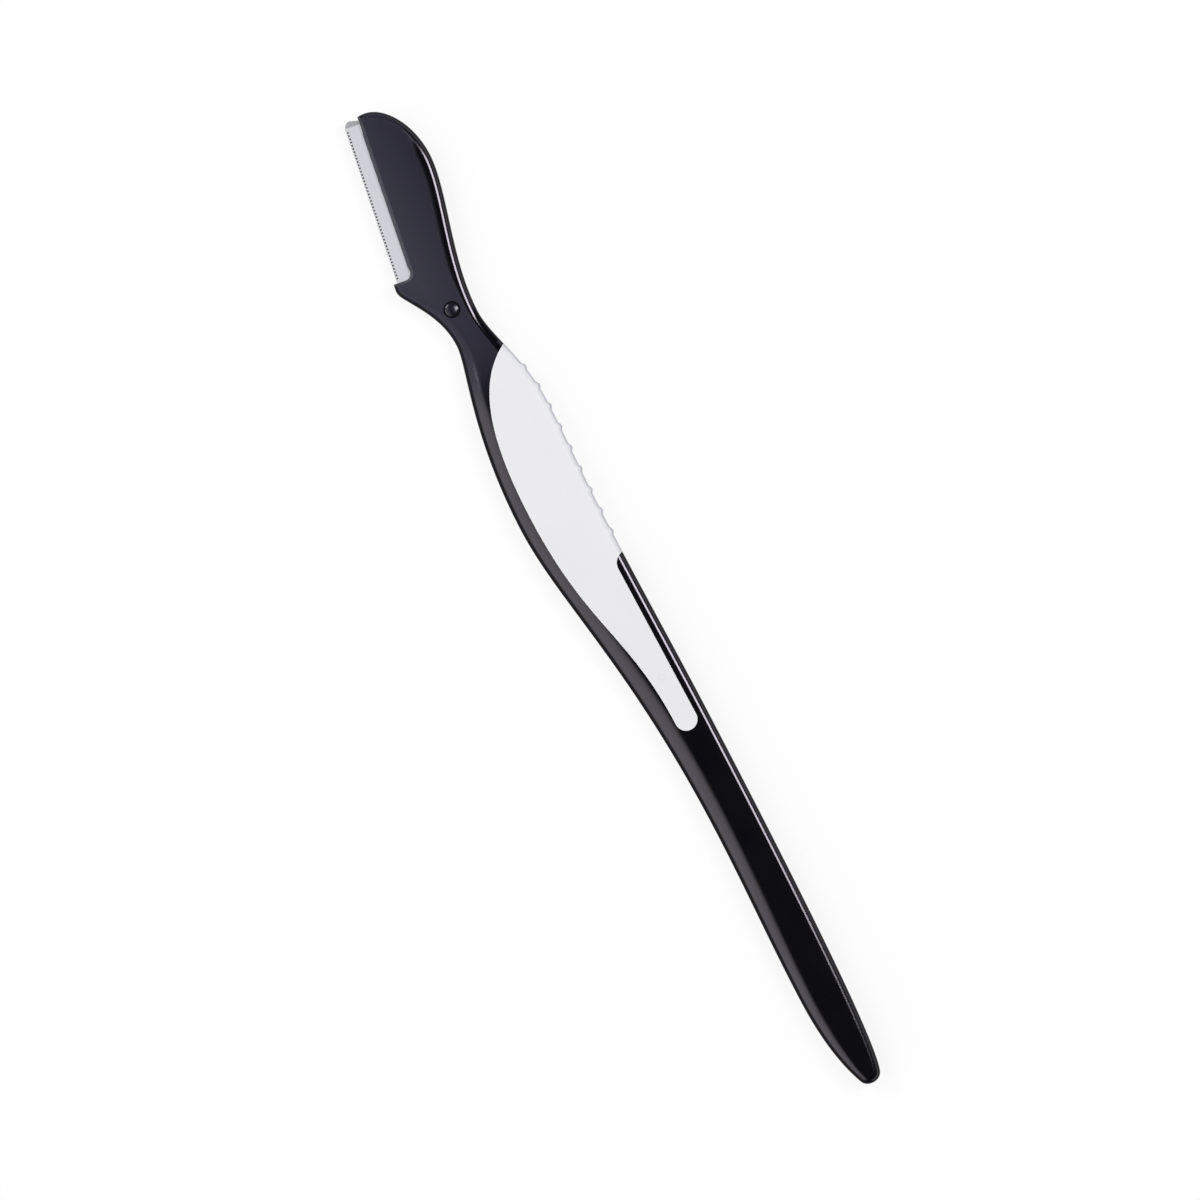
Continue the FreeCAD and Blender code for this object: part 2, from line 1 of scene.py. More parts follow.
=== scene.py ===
# %% [markdown]
# An eyebrow razor lies on its back on a pale floor: a slim black handle with a white soft grip,
# a flat head at one end, and a short blade behind a fine steel guard.
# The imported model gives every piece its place. The handle, the grip and the stud are drawn again
# here as smooth surfaces, because their long soft highlights show every facet of a coarse mesh.
# The blade, its guard and its clamp are flat, so they stay as packed and only get a finish.

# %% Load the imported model
import math

import bmesh
import bpy
import numpy as np
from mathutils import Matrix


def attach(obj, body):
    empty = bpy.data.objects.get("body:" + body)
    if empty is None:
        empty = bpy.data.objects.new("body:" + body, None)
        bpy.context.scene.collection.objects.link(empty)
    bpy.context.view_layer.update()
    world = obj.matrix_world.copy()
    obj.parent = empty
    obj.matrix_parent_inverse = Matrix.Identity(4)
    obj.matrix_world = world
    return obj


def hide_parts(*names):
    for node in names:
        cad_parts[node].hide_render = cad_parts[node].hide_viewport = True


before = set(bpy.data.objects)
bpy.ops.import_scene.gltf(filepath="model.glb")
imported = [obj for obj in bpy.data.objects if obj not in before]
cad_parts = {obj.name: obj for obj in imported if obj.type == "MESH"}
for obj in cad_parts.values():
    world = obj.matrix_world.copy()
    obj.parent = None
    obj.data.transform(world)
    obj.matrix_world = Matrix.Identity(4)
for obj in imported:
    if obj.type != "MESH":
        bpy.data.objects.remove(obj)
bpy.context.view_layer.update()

# %% [markdown]
# The handle is drawn in millimetres, measured from the tip of its tail and from its long axis.
# +Y points to the cutting edge, so each station has a belly side (blade side) and a spine side.
# These are the sizes that the outline, the grip and the head share. A pair is a point in plan.

# %% Sizes in millimetres
MM = 0.001  # in metres
OVERALL = 159.9
MIDDLE = 2.5  # height of the plane that the front and rear halves share
HANDLE_HALF, HEAD_HALF = 2.5, 1.5
EDGE_ROUND = 1.0
BLADE_ANGLE = math.radians(8.8)
BLADE_HALF = 0.125
WINDOW = np.array([135.6, 6.05])  # where the window's heel side meets the cutting edge
LIP = -2.2  # place of the lip across the cutting edge

TIP_BELLY, TIP_SPINE = (1.0, 0.05), (1.0, -3.2)
TAIL, WAIST, SWELL, NECK = (16.0, 2.38), (43.0, 1.9), (95.5, 6.8), (123.5, 2.65)
SAG, SADDLE, HUMP = (58.0, -5.21), (90.0, -4.93), (110.5, -5.38)
NAPE, CROWN, HEAD_END = (126.5, -2.45), (150.2, -6.85), (OVERALL, -0.6)
GRIP_CREST, GRIP_END = (96.5, 4.75), (121.5, -5.38)
HEEL_FOOT, HEEL_TOP = (133.2, 6.4), (134.81, 6.83)
LINE_STOP = 155.9
LINE_END = (LINE_STOP, HEEL_TOP[1] - (LINE_STOP - HEEL_TOP[0]) * math.tan(BLADE_ANGLE))
print("handle", OVERALL, "mm long and", 2 * HANDLE_HALF, "mm thick")

# %% [markdown]
# Both sides of the outline are chains of cubic curves that run level through each crest and hollow.
# A cubic starts and ends on its outer poles, and the two between them set how full the bend is.
# Numpy weighs the four poles for many positions at once. Tracing dozens of points would also give
# the outline, but it would carry small bumps into the highlights.

# %% Curves of the outline
def cubic(poles, count=240):
    """Points of a cubic: the four poles weighted by the Bernstein polynomials of t from 0 to 1."""
    t = np.linspace(0, 1, count)[:, None]
    weights = np.hstack([(1 - t) ** 3, 3 * t * (1 - t) ** 2, 3 * t * t * (1 - t), t ** 3])
    return weights @ np.array(poles, float)


def crest(start, end, lean_out, lean_in):
    """Cubic that is level at both ends; the leans are shares of the run between them."""
    run = end[0] - start[0]
    return cubic([start, (start[0] + run * lean_out, start[1]), (end[0] - run * lean_in, end[1]), end])


TIP_PULL, HALF_TIP = -1 / 3, 240
tip = cubic([TIP_SPINE, (TIP_PULL, -2.667), (TIP_PULL, -0.483), TIP_BELLY], 2 * HALF_TIP + 1)
belly_chain = [
    tip[HALF_TIP:],
    cubic([TIP_BELLY, (5.0, 1.65), (9.76, TAIL[1]), TAIL]),
    crest(TAIL, WAIST, 0.37, 0.37),
    crest(WAIST, SWELL, 0.53, 0.23),
    crest(SWELL, NECK, 0.56, 0.12),
    cubic([NECK, (127.67, NECK[1]), (130.456, 4.751), HEEL_FOOT]),
    cubic([HEEL_FOOT, (133.714, 6.709), (134.266, 6.914), HEEL_TOP]),
    cubic([HEEL_TOP, (141.8, 5.748), (148.8, 4.664), LINE_END]),
    cubic([LINE_END, (158.3, LINE_END[1] - 0.372), (OVERALL, 2.2), HEAD_END]),
]
grip_spine = [crest(SADDLE, HUMP, 0.39, 0.36), crest(HUMP, NAPE, 0.42, 0.24)]
spine_chain = [
    tip[HALF_TIP::-1],
    cubic([TIP_SPINE, (5.0, -4.8), (33.06, SAG[1]), SAG]),
    crest(SAG, SADDLE, 0.37, 0.37),
    *grip_spine,
    crest(NAPE, CROWN, 0.37, 0.25),
    cubic([CROWN, (155.4, CROWN[1]), (OVERALL, -3.9), HEAD_END]),
]


def side(curves, inward):
    """One side of the outline as rows of x, y and the unit normal that points into the handle.

    Both tips are round, so there the normal lies straight along X and the two sides meet."""
    points = np.vstack([curve[:-1] for curve in curves] + [curves[-1][-1:]])
    slope = np.gradient(points, axis=0)
    slope /= np.linalg.norm(slope, axis=1, keepdims=True)
    table = np.hstack([points, inward * np.stack([-slope[:, 1], slope[:, 0]], axis=1)])
    table[0, 2:], table[-1, 2:] = (1, 0), (-1, 0)
    return table


belly_side, spine_side = side(belly_chain, -1), side(spine_chain, 1)
print("outline points", len(belly_side), len(spine_side))

# %% [markdown]
# The handle's long edges are rounded on the spine side and have a broad soft bevel on the belly side,
# which fades out at the tail and before the heel. Each profile is a row of widths and drops.
# The bevel's share of the edge is a moving average over 3 mm, so that no kink shows in the reflections.
# The height falls through a ramp from the thick handle to the thin head.

# %% Profiles of the edges
RAMP_START, RAMP_END = 112.0, 125.0
ramp_middle = (RAMP_START + RAMP_END) / 2
ramp = cubic([(RAMP_START, HANDLE_HALF), (ramp_middle, HANDLE_HALF),
              (ramp_middle, HEAD_HALF), (RAMP_END, HEAD_HALF)])

bevel_share = np.array([
    (0, 0), (2, 0.04), (5, 0.3), (10, 0.5), (15, 0.57), (20, 0.63), (30, 0.79),
    (42, 0.93), (52, 1.05), (62, 1.15), (75, 1.06), (90, 0.98), (105, 0.97), (111, 0.88),
    (117, 0.68), (123, 0.5), (128, 0.4), (132.5, 0), (160, 0),
])
EASE_STEP, EASE_COUNT = 0.2, 15
fine_x = np.arange(0, OVERALL + EASE_STEP / 2, EASE_STEP)
moving_average = np.full(EASE_COUNT, 1 / EASE_COUNT)
eased_share = np.convolve(np.interp(fine_x, *bevel_share.T), moving_average, "same")
eased_share *= np.minimum(fine_x / bevel_share[1, 0], 1)  # the very tip has no bevel

BEVEL_KNEE = (0.1, 1.32)
soft_bevel = np.vstack([cubic([(0, 1.55), (0, 1.45), (0.04, 1.39), BEVEL_KNEE], 5)[:-1],
                        cubic([BEVEL_KNEE, (0.5, 0.78), (1.35, 0.06), (2.5, 0)], 13)])
edge_rows = len(soft_bevel)
round_edge = EDGE_ROUND * cubic([(0, 1), (0, 0.45), (0.43, 0), (1.06, 0)], edge_rows)
print("rows on an edge", edge_rows, "widest bevel", round(soft_bevel[-1, 0] * eased_share.max(), 2), "mm")

# %% [markdown]
# Stations are the places along the handle where its section is worked out. Both tips are round in
# plan, so the outline turns quickly there and needs stations close together. Elsewhere a few tenths
# of a millimetre are enough.

# %% Stations
TAIL_RUN, TAIL_COUNT = 1.2, 14
HEAD_RUN, HEAD_COUNT = 2.5, 18
head_start = OVERALL - HEAD_RUN


def stations(*runs):
    """Stations along the handle, each run given as start, end and step.

    Near a tip, the distance to it is a square of the count, so stations are packed closer there."""
    tail = TAIL_RUN * np.linspace(0, 1, TAIL_COUNT) ** 2
    head = OVERALL - HEAD_RUN * np.linspace(1, 0, HEAD_COUNT) ** 2
    middle = [np.arange(start, end - step / 2, step) for start, end, step in runs]
    return np.concatenate([tail[:-1], *middle, head])


handle_stations = stations((TAIL_RUN, 110, 0.5), (110, 131, 0.3), (131, 136.2, 0.12),
                           (136.2, head_start, 0.4))
print("handle stations", len(handle_stations))

# %% [markdown]
# The handle is a skin over its stations. At each one a closed loop runs over the front face and back
# along the rear face, so the two parameters of the surface are the station and the place on the loop.
# Each point also keeps two distances for the finish: how far it lies from the rim, and a polish depth
# that says how far it lies towards the grained part of the mould.

# %% Skin of the handle
FACE_ROWS = 6
BELLY_UNPOLISHED, END_UNPOLISHED, END_STATIONS = 1.05, 1.0, (151, 157)
BELLY_DULL, NAPE_DULL = 0.2, 0.6
NAPE_STATIONS = (GRIP_END[0] - 0.1, GRIP_END[0], NAPE[0] - 1, NAPE[0] + 1.2)


def at(table, x):
    """Values of a side's table at stations x, column by column."""
    return np.stack([np.interp(x, table[:, 0], column) for column in table.T], axis=1)


def half_loop(x, ribs):
    """Front half of every loop: x, y, height, distance from the rim and polish depth of each point.

    A rim point lies inward from the outline along its normal, by the width of the edge's profile,
    and below the face by the profile's drop. The ribs push the spine outwards, most at the flank.
    The rim's dull line is drawn wider on the belly side and at the nape, where the bright line along
    the spine starts late, so there the distance is counted from further in.
    The polish depth is the distance from the rim, raised where the mould's polish stops sooner.
    Both distances rise across the face as a parabola, by a millimetre in its middle."""
    share = np.interp(x, fine_x, eased_share)[:, None, None]
    swell = np.cos(np.linspace(0, math.pi / 2, edge_rows)) * ribs(x)[:, None]
    edges = {"belly": (at(belly_side, x), round_edge * (1 - share) + soft_bevel * share, 0 * swell),
             "spine": (at(spine_side, x), round_edge + 0 * share, swell)}
    unpolished = {"belly": np.full(len(x), BELLY_UNPOLISHED),
                  "spine": np.interp(x, END_STATIONS, (0, END_UNPOLISHED))}
    dull = {"belly": np.full(len(x), BELLY_DULL),
            "spine": np.interp(x, NAPE_STATIONS, (0, NAPE_DULL, NAPE_DULL, 0))}
    rims = {}
    for name, (line, profile, out) in edges.items():
        profile, out = (np.concatenate([rows[:, :1], rows], axis=1) for rows in (profile, out))
        wide, drop = profile[..., 0], profile[..., 1]
        plan = line[:, None, :2] + (wide - out)[..., None] * line[:, None, 2:]
        high = np.interp(plan[..., 0], *ramp.T) - drop
        high[:, 0] = 0
        depth = wide + unpolished[name][:, None]
        rims[name] = np.stack([plan[..., 0], plan[..., 1], high, wide - dull[name][:, None], depth], axis=2)
    step = np.linspace(0, 1, FACE_ROWS + 2)[1:-1, None]
    face = rims["belly"][:, -1:] * (1 - step) + rims["spine"][:, -1:] * step
    face[..., 2] = np.interp(face[..., 0], *ramp.T)
    face[..., 3:] += 4 * step * (1 - step)
    return np.concatenate([rims["belly"], face, rims["spine"][:, ::-1]], axis=1)


def skin(x, ribs=np.zeros_like):
    """Closed loops for all stations: the front half, then the same mirrored about the middle plane."""
    front = half_loop(x, ribs)
    rear = front[:, -2:0:-1] * (1, 1, -1, 1, 1)
    loop = np.concatenate([front, rear], axis=1)
    loop[..., 2] += MIDDLE
    return loop


handle_loops = skin(handle_stations)
print("handle skin", handle_loops.shape)

# %% [markdown]
# A grid of points becomes a mesh with one quad between each four neighbours. At both tips the loop
# closes up to a line, so points that meet are merged there and the skin is watertight.
# The distance from the rim and the polish depth go along as a UV map, for finishes that change there.

# %% From grid to mesh
MERGE_WITHIN = 1e-6  # metres


def shifted(points):
    """Millimetres from the tail tip to metres from the middle of the handle."""
    return (points - (OVERALL / 2, 0, 0)) * MM


def mesh_from(name, points, faces):
    """Mesh object from points in metres and faces by index."""
    mesh = bpy.data.meshes.new(name)
    mesh.from_pydata(points.tolist(), [], [list(face) for face in faces])
    piece = bpy.data.objects.new(name, mesh)
    bpy.context.scene.collection.objects.link(piece)
    return piece


def weld(piece):
    """Merge points that meet and turn all faces outwards."""
    shell = bmesh.new()
    shell.from_mesh(piece.data)
    bmesh.ops.remove_doubles(shell, verts=shell.verts, dist=MERGE_WITHIN)
    bmesh.ops.recalc_face_normals(shell, faces=shell.faces)
    if shell.calc_volume(signed=True) < 0:
        bmesh.ops.reverse_faces(shell, faces=shell.faces)
    open_edges = sum(not edge.is_manifold for edge in shell.edges)
    shell.to_mesh(piece.data)
    shell.free()
    print(piece.name, "faces", len(piece.data.polygons), "open edges", open_edges)
    return piece


def tube(name, loops):
    """Skin a stack of closed loops: quads between neighbours along the stack and around each loop."""
    count, around = loops.shape[:2]
    index = np.arange(count * around).reshape(count, around)
    after = np.roll(index, -1, axis=1)
    quads = np.stack([index[:-1], after[:-1], after[1:], index[1:]], axis=-1).reshape(-1, 4)
    piece = mesh_from(name, shifted(loops[..., :3].reshape(-1, 3)), quads)
    rim = piece.data.uv_layers.new(name="rim")
    corners = loops.reshape(-1, loops.shape[-1])[quads.reshape(-1)]
    rim.data.foreach_set("uv", corners[:, 3:5].astype(np.float32).ravel())
    return weld(piece)


handle = tube("handle_body_skin", handle_loops)

# %% [markdown]
# A handle of this kind is moulded first and its soft grip is moulded over it, so it has a recess on
# both faces and around the spine. The same outline cuts that recess and bounds the grip.
# Inside the recess a core of black plastic stays, and the grip covers it evenly.

# %% Outlines in plan
SAME_POINT = 1e-6
BELOW = -10.85  # well clear of the spine
TONGUE_START, TONGUE_LOW, TONGUE_HIGH = 59.675, -3.51, -0.16
SHOULDER, SHOULDER_ROUND = (85.7, -3.23), 2.0
COVER, CORE_START, CORE_TOP = 1.2, 57.0, 9.0


def quarter(start, corner, end, count=12):
    """Quarter-round from start to end around a corner: a cubic whose poles lie 0.5523 of the way to it."""
    pull = 0.5523
    start, corner, end = map(np.array, (start, corner, end))
    return cubic([start, start + (corner - start) * pull, end + (corner - end) * pull, end], count)


def chain(*parts):
    """One closed outline from curves and single points, without repeated points."""
    points = np.vstack([np.atleast_2d(part) for part in parts])
    keep = np.linalg.norm(points - np.roll(points, 1, axis=0), axis=1) > SAME_POINT
    return points[keep]


tongue_tip = TONGUE_START - (TONGUE_HIGH - TONGUE_LOW) / 2
tongue_middle = (TONGUE_LOW + TONGUE_HIGH) / 2
grip_outline = chain(
    crest((TONGUE_START, TONGUE_HIGH), GRIP_CREST, 0.4, 0.49)[::3],
    cubic([GRIP_CREST, (112.49, GRIP_CREST[1]), (118.9, 1.103), GRIP_END], 90),
    (GRIP_END[0], BELOW),
    (SHOULDER[0], BELOW),
    quarter((SHOULDER[0], SHOULDER[1] - SHOULDER_ROUND), SHOULDER,
            (SHOULDER[0] - SHOULDER_ROUND, SHOULDER[1])),
    quarter((TONGUE_START, TONGUE_LOW), (tongue_tip, TONGUE_LOW), (tongue_tip, tongue_middle)),
    quarter((tongue_tip, tongue_middle), (tongue_tip, TONGUE_HIGH), (TONGUE_START, TONGUE_HIGH)),
)
core_edge = np.vstack([curve[::6] for curve in grip_spine]) + (0, COVER)
core_outline = chain((NAPE[0], CORE_TOP), core_edge[::-1],
                     (CORE_START, SADDLE[1] + COVER), (CORE_START, CORE_TOP))
print("grip outline", len(grip_outline), "core outline", len(core_outline))

# %% [markdown]
# The head is worked out along and across the cutting edge, which leans against the handle's axis.
# The window is where the blade stands free, and the lip around it is bevelled on the front. The recess
# behind it takes the blade's tang and the clamp, and two short holes take the clamp's stakes.
# The bevel's cutter stands over the face by a little, because two faces in one plane cut badly.

# %% Outlines in the head
LIP_ROUND, PAST_TIP, PAST_EDGE = 1.0, 30, 5
BEVEL_WIDTH, BEVEL_DROP, BEVEL_OVER = 0.5, 1.0, 0.5
TANG_START, TANG_END, TANG_LOW, TANG_ROUND, TANG_OVERLAP = 1.4, 22.4, -5.8, 1.2, 0.05
STAKES_ALONG, STAKE_BELOW_LIP = (5.9, 17.9), 1.9
STUD = np.array([128.5, 0.8])


def by_edge(points):
    """From along and across the cutting edge to the handle's own axes: a turn, then a shift."""
    c, s = math.cos(BLADE_ANGLE), math.sin(BLADE_ANGLE)
    return np.atleast_2d(points) @ np.array([(c, -s), (s, c)]) + WINDOW


def disc(centre, radius, count=48):
    """Circle of points around a centre."""
    angle = np.linspace(0, 2 * math.pi, count, endpoint=False)
    return np.asarray(centre) + radius * np.stack([np.cos(angle), np.sin(angle)], axis=1)


def window_grown(grow):
    """Outline of the window, with its heel side and its lip moved outwards by a width."""
    low = LIP - grow
    corner = quarter((-grow, LIP + LIP_ROUND), (-grow, low), (LIP_ROUND, low))
    return by_edge(chain(corner, (PAST_TIP, low), (PAST_TIP, PAST_EDGE), (-grow, PAST_EDGE)))


window_outline = window_grown(0)
bevel_outline = window_grown(BEVEL_WIDTH * (1 + BEVEL_OVER / BEVEL_DROP))
tang_outline = by_edge(chain(
    (TANG_END, LIP + TANG_OVERLAP),
    quarter((TANG_END, TANG_LOW + TANG_ROUND), (TANG_END, TANG_LOW), (TANG_END - TANG_ROUND, TANG_LOW)),
    quarter((TANG_START + TANG_ROUND, TANG_LOW), (TANG_START, TANG_LOW), (TANG_START, TANG_LOW + TANG_ROUND)),
    (TANG_START, LIP + TANG_OVERLAP),
))
stakes = by_edge([(along, LIP - STAKE_BELOW_LIP) for along in STAKES_ALONG])
print("window outline", len(window_outline), "tang outline", len(tang_outline), "stakes", len(stakes))

# %% [markdown]
# A straight prism is the simplest cutter: an outline at two heights, with walls and two caps.
# Blender's Boolean modifier then takes one closed mesh from another, and its exact solver keeps the
# result closed. The cut mesh is taken over at once, so that the next cut starts from plain faces.

# %% Prisms and cuts
def prism(name, outline, low, high, upper=None, depth=0.0):
    """Prism of an outline at two heights, or with another outline of as many points at the upper one.

    The walls that it cuts take the depth as their distance from the rim and as their polish depth."""
    count = len(outline)
    plans = (outline, outline if upper is None else upper)
    levels = [np.column_stack([plan, np.full(count, z)]) for plan, z in zip(plans, (low, high))]
    index = np.arange(count)
    after = np.roll(index, -1)
    walls = np.stack([index, after, after + count, index + count], axis=1).tolist()
    caps = [index.tolist(), (index + count).tolist()]
    piece = mesh_from(name, shifted(np.vstack(levels)), walls + caps)
    rim = piece.data.uv_layers.new(name="rim")
    rim.data.foreach_set("uv", np.full(2 * len(rim.data), depth, np.float32))
    return weld(piece)


def carve(piece, tool, how):
    """Apply one exact cut or overlap of two closed meshes to the first of them."""
    change = piece.modifiers.new(how, "BOOLEAN")
    change.object, change.operation, change.solver = tool, how, "EXACT"
    result = piece.evaluated_get(bpy.context.evaluated_depsgraph_get())
    mesh = bpy.data.meshes.new_from_object(result)
    piece.modifiers.clear()
    piece.data = mesh
    print(piece.name, how.lower(), "with", tool.name, "leaves faces", len(mesh.polygons))


# %% [markdown]
# The handle loses the grip's recess, the window with its bevelled lip, the recess for the tang and
# the holes and seats of the stakes and the stud. The walls of the window and of its bevel are grained,
# like the faces of the head.

# %% Cut the handle
BEHIND, BEFORE = -1.0, 6.0  # heights clear of both faces
GRAINED = 3.0  # a polish depth that is grained all over
STAKE_RADIUS, STAKE_DEEP = 0.8, 0.825
SEAT_RADIUS, SEAT_DEEP, SEAT_POINTS = 1.25, 0.2, 64
SHANK_RADIUS = 0.6

head_front, head_rear = MIDDLE + HEAD_HALF, MIDDLE - HEAD_HALF
grip_space = prism("grip_space", grip_outline, BEHIND, BEFORE)
core = prism("core", core_outline, COVER, 2 * MIDDLE - COVER)
carve(grip_space, core, "DIFFERENCE")
stud_seat = disc(STUD, SEAT_RADIUS, SEAT_POINTS)
cutters = [
    grip_space,
    prism("window", window_outline, BEHIND, BEFORE, depth=GRAINED),
    prism("lip_bevel", window_outline, head_front - BEVEL_DROP, head_front + BEVEL_OVER,
          bevel_outline, GRAINED),
    prism("tang", tang_outline, BEHIND, MIDDLE + BLADE_HALF),
    *(prism(f"stake_{number}", disc(place, STAKE_RADIUS), MIDDLE, MIDDLE + STAKE_DEEP)
      for number, place in enumerate(stakes, 1)),
    prism("front_seat", stud_seat, head_front - SEAT_DEEP, BEFORE),
    prism("rear_seat", stud_seat, BEHIND, head_rear + SEAT_DEEP),
    prism("stud_hole", disc(STUD, SHANK_RADIUS), BEHIND, BEFORE),
]
for cutter in cutters:
    carve(handle, cutter, "DIFFERENCE")

# %% [markdown]
# The grip fills the recess and finishes flush with the handle, so it is the same skin kept only where
# the recess is. Nine small ribs along the spine give the finger a hold: each is a raised cosine,
# added to the skin before it is cut.

# %% Grip
RIB_FIRST, RIB_PITCH, RIB_COUNT, RIB_HALF, RIB_HIGH = 89.1, 3.4, 9, 0.75, 0.3


def rib_height(x):
    """Sum of raised cosines, one for each rib."""
    away = np.abs(x[:, None] - (RIB_FIRST + RIB_PITCH * np.arange(RIB_COUNT)))
    bump = np.where(away < RIB_HALF, np.cos(away * math.pi / 2 / RIB_HALF) ** 2, 0)
    return RIB_HIGH * np.sum(bump, axis=1)


grip_stations = stations((TAIL_RUN, 56, 4.0), (56, 86, 0.5), (86, 119, 0.1), (119, 123, 0.3),
                         (123, head_start, 2.0))
grip = tube("grip_skin", skin(grip_stations, rib_height))
carve(grip, grip_space, "INTERSECT")

# %% [markdown]
# The stud is a small rivet head, proud of both faces of the neck: a profile turned about
# its own axis, so the two parameters of its surface are the place on the profile and the angle.

# %% Stud
DOME_RADIUS, DOME_HIGH, DOME_POINTS = 1.1, 0.25, 16
LIGHT_GRAIN = 1.4  # a polish depth between polished and grained


def turned(name, profile, centre, count=64):
    """Profile of radius and height turned about an upright axis through the centre, lightly grained."""
    angle = np.linspace(0, 2 * math.pi, count, endpoint=False)
    radius, height = profile[:, :1], profile[:, 1:] + 0 * angle
    return tube(name, np.stack([centre[0] + radius * np.cos(angle), centre[1] + radius * np.sin(angle),
                                height, 0 * height + EDGE_ROUND, 0 * height + LIGHT_GRAIN], axis=2))


seat = HEAD_HALF - SEAT_DEEP
crown = seat + DOME_HIGH
dome = quarter((0, crown), (DOME_RADIUS, crown), (DOME_RADIUS, seat), DOME_POINTS)
shank = np.array([(SHANK_RADIUS, seat), (SHANK_RADIUS, -seat)])
stud_profile = np.vstack([dome, shank, dome[::-1] * (1, -1)]) + (0, MIDDLE)
stud = turned("neck_stud_turned", stud_profile, STUD)

# %% [markdown]
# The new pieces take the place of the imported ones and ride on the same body. Smooth shading hides
# the facets, and edges stay crisp only where two faces meet at a clear angle.

# %% Put the new pieces in place
def smooth(piece, sharp_above=32):
    """Shade smoothly, with crisp edges only where two faces meet at more than an angle in degrees.

    Normals are weighted by area, so that slivers along a cut leave no marks on a flat face."""
    piece.data.polygons.foreach_set("use_smooth", np.ones(len(piece.data.polygons), bool))
    piece.data.set_sharp_from_angle(angle=math.radians(sharp_above))
    weighted = piece.modifiers.new("weighted_normals", "WEIGHTED_NORMAL")
    weighted.keep_sharp = True


for cutter in (*cutters, core):
    bpy.data.objects.remove(cutter)
for piece, node_name, slot in ((handle, "handle_body", "black_plastic"), (grip, "grip", "white_elastomer"),
                               (stud, "neck_stud", "stud_plastic")):
    smooth(piece)
    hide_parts(node_name)
    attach(piece, "root")

# %% [markdown]
# Colours are written as they look on a screen and turned to linear light in one place.
# One helper adds a shader node: settings by name, inputs either as plain values or as links.
# Inputs go by name or by number. A Map Range reads its value at 0 and turns the range at 1 and 2 into
# the one at 3 and 4. A Mix takes its factor at 0, two numbers at 2 and 3, and two colours at 6 and 7.

# %% Colour and node helpers
def colour(code):
    """Linear RGBA from an sRGB hex code."""
    value = np.array([int(code[i:i + 2], 16) for i in (1, 3, 5)]) / 255
    linear = np.where(value <= 0.04045, value / 12.92, ((value + 0.055) / 1.055) ** 2.4)
    return (*linear.tolist(), 1.0)


def add(tree, kind, inputs=None, **settings):
    """Add a node, apply its settings, and set or link each named or numbered input."""
    made = tree.nodes.new(kind)
    for name, value in settings.items():
        setattr(made, name, value)
    for key, value in (inputs or {}).items():
        if isinstance(value, bpy.types.NodeSocket):
            tree.links.new(value, made.inputs[key])
        else:
            made.inputs[key].default_value = value
    return made


def new_material(name):
    """Empty node material, and its tree to fill."""
    material = bpy.data.materials.new(name)
    material.use_nodes = True
    material.node_tree.nodes.clear()
    return material, material.node_tree


def dress(piece, material):
    """Give a piece one material."""
    piece.data.materials.clear()
    piece.data.materials.append(material)
    print(piece.name, "is", material.name)


def along_x(station):
    """Place along X, in metres, of a station in millimetres from the tail."""
    return (station - OVERALL / 2) * MM


print("grey #808080 is", round(colour("#808080")[0], 3), "in linear light")

# %% [markdown]
# The handle is drawn as black styrene from a polished mould: deep black with sharp reflections.
# The mould's faces around the head are taken as spark-eroded, so the plastic has a fine grain there,
# which scatters light and reads as dark grey. The grey is painted paler towards the blade as painted light,
# and darker at the neck as painted shade.
# The rim along the head's spine stays polished. The UV map gives the distances from the rim, and the
# place along X gives the station, so two ramps multiplied say where the grain lies.

# %% Where the black plastic is grained
POLISHED_TO, GRAINED_FROM = 1.25, 1.7
GRAIN_STARTS, GRAIN_FULL = 111, 124
# Painted light and shade: the grained grey is painted paler towards the blade side and darker at the neck.
PAINTED_LIGHT_FROM, PAINTED_LIGHT_TO = 114, 138
SHADED_SIDE, LIT_SIDE = -4.5, 3

black, tree = new_material("black_styrene_polished_and_grained")
rim = add(tree, "ShaderNodeSeparateXYZ", {0: add(tree, "ShaderNodeUVMap", uv_map="rim").outputs[0]})
place = add(tree, "ShaderNodeTexCoord")
station = add(tree, "ShaderNodeSeparateXYZ", {0: place.outputs["Object"]})
inside = add(tree, "ShaderNodeMapRange", {0: rim.outputs[1], 1: POLISHED_TO, 2: GRAINED_FROM},
             interpolation_type="SMOOTHSTEP")
towards_head = add(tree, "ShaderNodeMapRange",
                   {0: station.outputs[0], 1: along_x(GRAIN_STARTS), 2: along_x(GRAIN_FULL)},
                   interpolation_type="SMOOTHSTEP")
grained = add(tree, "ShaderNodeMath", {0: inside.outputs[0], 1: towards_head.outputs[0]},
              operation="MULTIPLY")
painted_light_along = add(tree, "ShaderNodeMapRange",
            {0: station.outputs[0], 1: along_x(PAINTED_LIGHT_FROM), 2: along_x(PAINTED_LIGHT_TO), 3: 0.2, 4: 1.0},
            interpolation_type="SMOOTHSTEP")
across = add(tree, "ShaderNodeMapRange",
             {0: station.outputs[1], 1: SHADED_SIDE * MM, 2: LIT_SIDE * MM, 3: 0.0, 4: painted_light_along.outputs[0]})
print("grain from", GRAIN_STARTS, "to", GRAIN_FULL, "mm")

# %% [markdown]
# Polished and grained parts are one plastic, so one shader serves both, and the grain's mask mixes
# their colour, gloss, roughness and relief. A slow wave keeps the polish from looking perfect.
# Where the two mould halves meet, a dull line runs round the whole outline.

# %% Black plastic
GRAIN, WAVE = 0.3 * MM, 6.0 * MM  # the grain is drawn coarser than a real one, so that it shows
DULL_TO, SHINY_FROM = 0.18, 0.42

